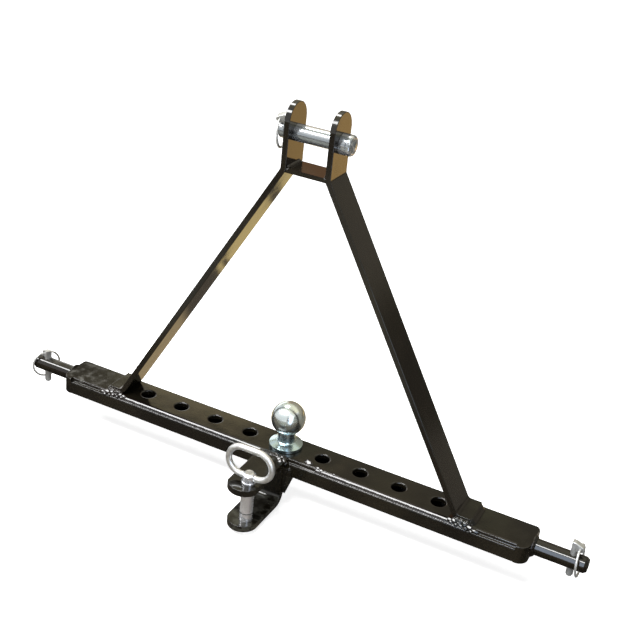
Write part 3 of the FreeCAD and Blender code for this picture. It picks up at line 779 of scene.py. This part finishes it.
drops("seam_drops", [((0.0462, -0.0202, 0.0126), (0.0064, 0.0046, 0.0032)),
                     ((0.0625, -0.0240, 0.0124), (0.0036, 0.0024, 0.0024)),
                     ((0.0680, -0.0252, 0.0116), (0.0040, 0.0020, 0.0020)),
                     ((0.0870, -0.0246, 0.0122), (0.0018, 0.0018, 0.0018))],
      seed=61.0, facet=0.82)
drops("arm_drops", [((0.0015, -0.0295, 0.0134), (0.0036, 0.0034, 0.0044)),
                    ((0.0052, -0.0330, 0.0132), (0.0034, 0.0036, 0.0042)),
                    ((0.0090, -0.0362, 0.0132), (0.0032, 0.0034, 0.0044)),
                    ((0.0110, -0.0305, 0.0132), (0.0032, 0.0034, 0.0040)),
                    ((0.0125, -0.0392, 0.0126), (0.0034, 0.0036, 0.0042)),
                    ((0.0158, -0.0345, 0.0116), (0.0030, 0.0036, 0.0042)),
                    ((0.0172, -0.0310, 0.0066), (0.0026, 0.0034, 0.0044))],
      seed=67.0, facet=0.91)
arm_bead_y = plate_low.y - BEFORE_PLATE
bead("arm_bead",
     straight((arm_low.x + FROM_LEFT, arm_bead_y, arm_high.z),
              (arm_high.x + PAST_RIGHT, arm_bead_y, arm_high.z), (0, -1, 0), (0, 0, 1)),
     ARM_SECTION, seed=91.0, lumps=0.5)
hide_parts("clevis_welds")

# %% [markdown]
# ## The drilled plate
# The holes are punched, so their upper edge is rolled in, and the enamel rounds it
# further. That soft edge catches a ring of light round each hole, which a sharp solid
# can't do. A flat curve with nine round gaps in it gets just such an edge from its bevel,
# so the plate is drawn again that way, between the same faces.

# %% Outline of the plate
HOLE_PITCH = 0.05715
HOLE_RADIUS = 0.010
HOLES_A_SIDE = 4
HOLE_POINTS = 96
ROLLED_EDGE = 0.0020
EDGE_ROUNDS = 4
UNDER_SEAM = 0.0008


def loop(curve, points):
    """A closed line in a flat curve."""
    spline = curve.splines.new("POLY")
    spline.points.add(len(points) - 1)
    for point, (x, y) in zip(spline.points, points):
        point.co = (x, y, 0, 1)
    spline.use_cyclic_u = True


outline = bpy.data.curves.new("plate_outline", "CURVE")
outline.dimensions = "2D"
outline.fill_mode = "BOTH"
outline.extrude = (plate_high.z - plate_low.z) / 2 - ROLLED_EDGE
outline.bevel_depth = ROLLED_EDGE
outline.bevel_resolution = EDGE_ROUNDS
outline.offset = -ROLLED_EDGE
end, side = plate_high.x + ROLLED_EDGE, plate_high.y + UNDER_SEAM
loop(outline, [(-end, -side), (end, -side), (end, side), (-end, side)])
turn = [2 * math.pi * k / HOLE_POINTS for k in range(HOLE_POINTS)]
for hole in range(-HOLES_A_SIDE, HOLES_A_SIDE + 1):
    loop(outline, [(hole * HOLE_PITCH + HOLE_RADIUS * math.cos(a), HOLE_RADIUS * math.sin(a))
                   for a in turn])
print("plate outline with", len(outline.splines) - 1, "holes")

# %% [markdown]
# The curve is only a pattern: its mesh is what stays. Its flat faces are shaded flat and
# its rolled edges smooth, so that the light turns over the edge and nowhere else.

# %% Plate with rolled edges
LEVEL = 0.999

pattern = put_in_scene("plate_pattern", outline)
plate_mesh = bpy.data.meshes.new_from_object(pattern)
bpy.data.objects.remove(pattern)
plate_mesh.transform(Matrix.Translation((0, 0, (plate_low.z + plate_high.z) / 2)))
for face in plate_mesh.polygons:
    face.use_smooth = abs(face.normal.z) < LEVEL
plate_mesh.materials.clear()
drilled_plate = enamelled("drilled_plate", plate_mesh)
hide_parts("bar_top_plate")
print("drilled_plate in", len(plate_mesh.polygons), "faces,",
      [round(v * 1000, 1) for v in drilled_plate.dimensions], "mm")

# %% [markdown]
# ## Floor
# The floor is pale and catches the shadow. It should look white without lighting the
# object from below, so it glows twice: a strong glow that only the camera, gloss and
# glass see, and a weak one that falls on things. Far from the bar it glows in full, so
# no edge of the floor shows against the room.

# %% The pale floor
WHITE = (1, 1, 1, 1)
FLOOR_DARK, FLOOR_LIGHT = (0.80, 0.80, 0.80, 1), (0.83, 0.83, 0.83, 1)
FLOOR_SIZE = 12
FALLING_GLOW, NEAR_GLOW, FAR_GLOW = 0.30, 0.76, 1.0
NEAR, FAR = 1.1, 2.6
GROUND = solids_box[0][2] - 0.001


def level_sheet(left, right, front, rear, z):
    return [(left, front, z), (right, front, z), (right, rear, z), (left, rear, z)]


def upright_sheet(start, end, low, high):
    return [(*start, low), (*end, low), (*end, high), (*start, high)]


def stage_sheet(name, corners):
    """One flat face that belongs to the studio and not to the object."""
    mesh = bpy.data.meshes.new(name)
    mesh.from_pydata([Vector(c) for c in corners], [], [tuple(range(len(corners)))])
    made = put_in_scene(name, mesh)
    return made


floor = stage_sheet("floor", level_sheet(-FLOOR_SIZE, FLOOR_SIZE, -FLOOR_SIZE, FLOOR_SIZE, GROUND))
pale = Finish("pale_floor")
pale.vary(base_color=pale.colour(pale.grain(3, 2), FLOOR_DARK, FLOOR_LIGHT))
pale.set(roughness=1.0, specular_ior_level=0.0)
away = pale.node("VectorMath", {"operation": "LENGTH"}, {0: pale.place()}, "Value")
white_glow = pale.node("MixShader", None, {0: away.between(NEAR, FAR),
                                           1: pale.glow(WHITE, NEAR_GLOW),
                                           2: pale.glow(WHITE, FAR_GLOW)})
floor_glow = pale.node("MixShader", None, {0: pale.seen(), 1: pale.glow(WHITE, FALLING_GLOW),
                                           2: white_glow})
pale.show(pale.node("AddShader", None, {0: Field(pale, pale.shader.outputs[0]), 1: floor_glow}))
floor.data.materials.append(pale.material)
print("floor at", round(GROUND * 1000, 1), "mm")

# %% [markdown]
# ## Cards
# A gloss black thing shows its surroundings more than itself, so a photographer sets
# coloured cards round it. They are seen only in reflections, by all but the camera and
# the light that falls. Each card is one sheet whose paint is an expression of where a
# point is on it.

# %% A card
def card(name, corners, paint):
    """A sheet that only reflections see. paint draws its colour on the paper."""
    made = stage_sheet(name, corners)
    made.visible_camera = False
    made.visible_diffuse = False
    made.visible_shadow = False
    made.visible_transmission = False
    paper = Finish(name)
    paper.show(paper.glow(paint(paper)))
    made.data.materials.append(paper.material)
    print(name, "set up")


def band(field, low, high, soft):
    """1 between low and high, 0 outside."""
    return field.between(low - soft, low) * (1 - field.between(high, high + soft))


def even(colour):
    """A paint that is the same all over."""
    return lambda paper: colour


# %% [markdown]
# Brown paper lies behind the bar, and the sides of the mast mirror it. The left leg sees
# a strip, tan near the bar and bright further out, with two dark lines across it. The
# ears see an orange patch further back.

# %% Paint of the brown card
def floor_paint(paper):
    """Brown paper in patches: one that the left leg mirrors, one for the ears."""
    tan, bright, orange = (0.66, 0.50, 0.28, 1), (1.12, 0.86, 0.38, 1), (1.62, 1.03, 0.40, 1)
    gap, plain = (0.15, 0.125, 0.095, 1), (0.30, 0.265, 0.215, 1)
    across, depth = paper.axis("X"), paper.axis("Y")
    strip = paper.colour(depth.between(0.235, 0.285), tan, gap)
    strip = paper.colour(depth.between(0.392, 0.402), strip, bright)
    strip = paper.colour(band(depth, 0.418, 0.430, 0.006), strip, gap)
    strip = paper.colour(band(depth, 0.640, 0.670, 0.02), strip, gap)
    under_leg = band(across, -0.36, 0.02, 0.05) * (1 - depth.between(0.9, 1.0))
    tone = paper.colour(under_leg, plain, strip)
    slanted = across - depth * 0.5
    behind_ears = band(slanted, -0.35, 0.16, 0.08) * depth.between(0.95, 1.10)
    return paper.colour(behind_ears, tone, orange)


# %% [markdown]
# In front the paper is dark, for the deep black of the channel and the clevis. Straight
# under the bar it is darker still, a painted shadow of the bar. Further out lies a dusty
# patch, which greys the front edges of the mast.

# %% Paint of the dark card
def front_paint(paper):
    """Dark paper, with a painted shadow of the bar where the bar stands over it."""
    painted_bar_shadow, dark, dusty = (0.06, 0.055, 0.045, 1), (0.20, 0.17, 0.135, 1), (0.56, 0.54, 0.44, 1)
    across, depth = paper.axis("X"), paper.axis("Y")
    patch = band(across, -0.45, 0.35, 0.15) * depth.between(-0.25, -0.45)
    # Under the bar the paper turns to a painted shadow of the bar.
    return paper.colour(depth.between(-0.095, -0.075), paper.colour(patch, dark, dusty), painted_bar_shadow)


# %% [markdown]
# A wall stands at the back, and every level face mirrors it. Bare beige would look like
# plastic, so two noises break it up, and it has gloom to its left and above, red-brown
# under it, and a pale corner at the far left for the end of the bar.

# %% Paint of the wall
def wall_paint(paper):
    """A beige wall between dark ones, with red-brown under it, paler at the far left."""
    low, middle, pale_low = (0.15, 0.13, 0.10, 1), (0.42, 0.37, 0.29, 1), (2.0, 1.96, 1.84, 1)
    rust, gloom, high = (0.50, 0.27, 0.14, 1), (0.22, 0.20, 0.16, 1), (0.66, 0.61, 0.43, 1)
    beige, shade, olive = (1.35, 1.14, 0.68, 1), (0.36, 0.32, 0.25, 1), (0.68, 0.66, 0.40, 1)
    across, up = paper.axis("X"), paper.axis("Z")
    wall = paper.colour(across.between(-1.38, -1.15), beige, shade)
    wall = paper.colour(across.between(-1.90, -2.12), wall, gloom)
    wall = paper.colour(paper.grain(1.6, 3).between(0.42, 0.68) * 0.4, wall, shade)
    wall = paper.colour(paper.grain(3.2, 3).between(0.48, 0.66) * 0.7, wall, olive)
    under = paper.colour(up.between(0.35, 0.60), low, middle)
    under = paper.colour(across.between(-1.2, -1.8), under, pale_low)
    under = paper.colour(up.between(1.0, 1.2) * band(across, -1.6, -0.7, 0.2), under, rust)
    tone = paper.colour(up.between(1.55, 1.68), under, wall)
    tone = paper.colour(up.between(1.86, 1.91), tone, gloom)
    return paper.colour(up.between(1.97, 2.04), tone, high)


# %% [markdown]
# Four more cards are even in tone: a bluish one beside the right-hand pin, which gives
# the pin its cold streak, a warm ceiling, and two screens at the right. The screens put
# dark edges into the ball and pins, because zinc that mirrors only white looks like
# plastic.

# %% Set up the cards
LOW = GROUND + 0.004
BAR_LINE, WALL_LINE = 0.09, 2.5
CEILING = 3.0
COLD_LIGHT = (3.9, 4.5, 5.5, 1)
WARM_LIGHT = (1.15, 1.08, 0.83, 1)
SCREEN_GREY = (0.34, 0.34, 0.30, 1)
SCREEN_DARK = (0.06, 0.06, 0.065, 1)

card("brown_card", level_sheet(-1.5, 3.5, BAR_LINE, WALL_LINE, LOW), floor_paint)
card("dark_card", level_sheet(-2.5, 2.5, -3.5, BAR_LINE, LOW), front_paint)
card("beige_wall", upright_sheet((-5, WALL_LINE), (4, WALL_LINE), GROUND, 2.7), wall_paint)
card("pin_card",
     [(0.25, -0.46, 0.0), (0.44, -0.46, 0.0), (0.44, -0.33, 0.36), (0.25, -0.33, 0.36)],
     even(COLD_LIGHT))
card("ceiling", level_sheet(-3, 3, -0.7, WALL_LINE, CEILING), even(WARM_LIGHT))
card("right_screen", upright_sheet((3.2, -2.0), (3.2, 2.45), GROUND, 2.4), even(SCREEN_GREY))
card("dark_screen", upright_sheet((0.75, -2.3), (1.25, -2.1), GROUND, 1.9), even(SCREEN_DARK))

# %% [markdown]
# ## Room and lamps
# The room round it all is white to the camera, gloss and glass, and sends only a little
# light on to the object. Otherwise a white background would wash out the black.

# %% World
ROOM_LIGHT = 0.22

world = bpy.data.worlds.new("studio")
bpy.context.scene.world = world
world.use_nodes = True
room = Graph(world.node_tree)
background = room.tree.nodes["Background"]
background.inputs["Color"].default_value = WHITE
strength = room.node("MapRange", None, {"Value": room.seen(), "To Min": ROOM_LIGHT, "To Max": 1.0})
room.feed(background.inputs["Strength"], strength)
print("room lights things at", ROOM_LIGHT, "and looks white")

# %% [markdown]
# One long softbox does most of the work. Its image runs along every weld and edge, so
# its place and the way it lies were found from where those white lines are. Two small
# boxes keep the back and the right side from going flat.

# %% Lamps
def softbox(name, place, target, size, watts, along=(1, 0, 0)):
    """A soft lamp of so many metres by so many, its long side lying along a direction."""
    lamp = bpy.data.lights.new(name, "AREA")
    lamp.shape = "RECTANGLE"
    lamp.size, lamp.size_y = size
    lamp.energy = watts
    made = put_in_scene(name, lamp)
    back = (Vector(place) - Vector(target)).normalized()
    long_side = Vector(along)
    long_side = (long_side - back * long_side.dot(back)).normalized()
    turned = Matrix((long_side, back.cross(long_side), back)).transposed()
    made.matrix_world = Matrix.Translation(place) @ turned.to_4x4()
    made.visible_camera = False
    print(name, watts, "W over", size, "m")


softbox("long_softbox", place=(-0.77, -1.08, 1.91), target=(0, 0, 0.05), size=(2.5, 0.46),
        watts=84, along=(2.01, -0.22, 0.37))
softbox("top_softbox", place=(-0.80, 0.60, 2.30), target=(0, 0, 0.3), size=(0.5, 0.5), watts=14)
softbox("fill_light", place=(1.8, -1.6, 1.6), target=(0, 0, 0.1), size=(1.2, 1.2), watts=9)

# %% [markdown]
# ## Last steps
# The Standard view shows each colour as it was written.

# %% Finish
bpy.context.scene.view_settings.view_transform = "Standard"
